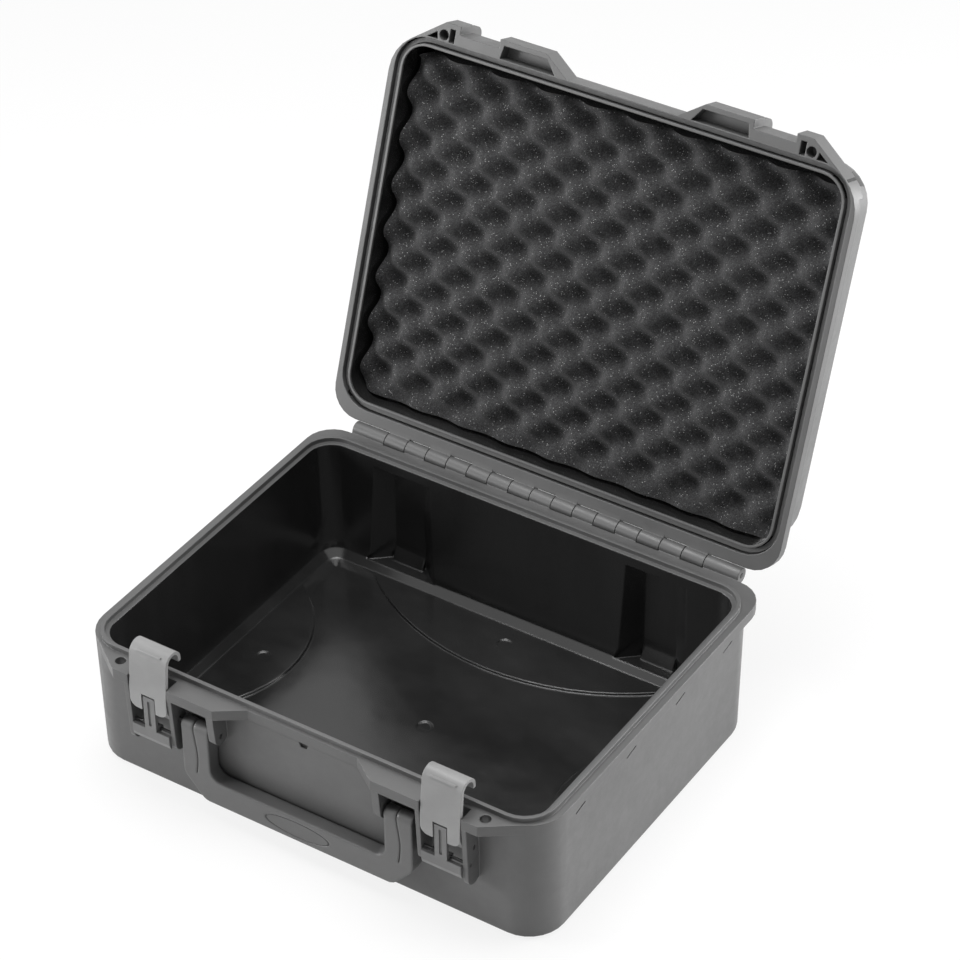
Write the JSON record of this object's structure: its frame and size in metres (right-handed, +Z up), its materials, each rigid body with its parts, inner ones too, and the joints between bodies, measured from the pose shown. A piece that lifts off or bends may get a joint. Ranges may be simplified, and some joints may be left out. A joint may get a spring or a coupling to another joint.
{
  "type": "waterproof carrying case",
  "caption": "Hard plastic carrying case, open, with a hinged lid lined in egg-crate foam, a rim gasket, hook latches with lock levers, padlock holes and a folding front handle.",
  "frame": {"origin": "middle of the base's flat underside", "axes": "+Z up, +Y towards the hinge, +X to the right as seen from the front"},
  "size_m": [0.41, 0.4895, 0.4368],
  "materials": {
    "case_plastic": "satin, fine texture outside, gloss inside",
    "latch_plastic": "satin",
    "foam": "open-cell foam",
    "gasket_rubber": "matt",
    "steel": "plain"
  },
  "bodies": {
    "base": {"base_shell": "case_plastic", "hinge_pin_left": "steel", "hinge_pin_right": "steel", "latch_pin_left": "steel", "latch_pin_right": "steel", "lock_pin_left": "steel", "lock_pin_right": "steel", "lock_spring_left": "steel", "lock_spring_right": "steel", "handle_pin_left": "steel", "handle_pin_right": "steel"},
    "lid": {"lid_shell": "case_plastic", "lid_gasket": "gasket_rubber", "lid_foam": "foam"},
    "latch_left": {"latch_hook_left": "latch_plastic"},
    "latch_right": {"latch_hook_right": "latch_plastic"},
    "lock_left": {"latch_lock_left": "latch_plastic"},
    "lock_right": {"latch_lock_right": "latch_plastic"},
    "handle": {"handle": "case_plastic", "handle_badge": "case_plastic"}
  },
  "joints": [
    {"name": "lid_hinge", "type": "hinge", "parent": "base", "child": "lid", "pos_m": [0, 0.1725, 0.11215], "axis": [1, 0, 0], "range_deg": [0, 109.3]},
    {"name": "latch_hinge_left", "type": "hinge", "parent": "base", "child": "latch_left", "pos_m": [-0.12915, -0.1605, 0.08], "axis": [1, 0, 0], "range_deg": [0, 95]},
    {"name": "latch_hinge_right", "type": "hinge", "parent": "base", "child": "latch_right", "pos_m": [0.12915, -0.1605, 0.08], "axis": [1, 0, 0], "range_deg": [0, 95]},
    {"name": "lock_press_left", "type": "hinge", "parent": "base", "child": "lock_left", "pos_m": [-0.12915, -0.1652, 0.066], "axis": [1, 0, 0], "range_deg": [0, 5], "stiffness_Nm_per_rad": 0.05, "springref_deg": -5.73},
    {"name": "lock_press_right", "type": "hinge", "parent": "base", "child": "lock_right", "pos_m": [0.12915, -0.1652, 0.066], "axis": [1, 0, 0], "range_deg": [0, 5], "stiffness_Nm_per_rad": 0.05, "springref_deg": -5.73},
    {"name": "handle_swing", "type": "hinge", "parent": "base", "child": "handle", "pos_m": [0, -0.1623, 0.081], "axis": [-1, 0, 0], "range_deg": [0, 140]}
  ]
}
